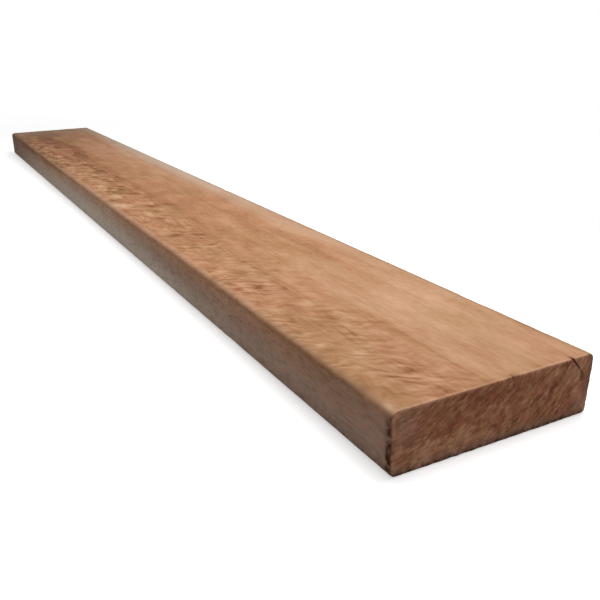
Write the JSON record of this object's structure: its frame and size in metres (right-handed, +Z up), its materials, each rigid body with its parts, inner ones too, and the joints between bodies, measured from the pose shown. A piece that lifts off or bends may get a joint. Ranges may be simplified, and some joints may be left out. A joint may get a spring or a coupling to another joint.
{
  "type": "wooden board",
  "caption": "Planed softwood board of rectangular section with eased long edges, saw-cut ends and a drying split at one end.",
  "frame": {"origin": "middle of the underside, where the board rests on its wide face", "axes": "+X along the grain towards the end with the drying split, +Y across the width, +Z up through the thickness"},
  "size_m": [1.219, 0.14, 0.038],
  "materials": {
    "planed_softwood": "planed, brown, unsealed"
  },
  "bodies": {
    "root": {"board": "planed_softwood"}
  },
  "joints": []
}
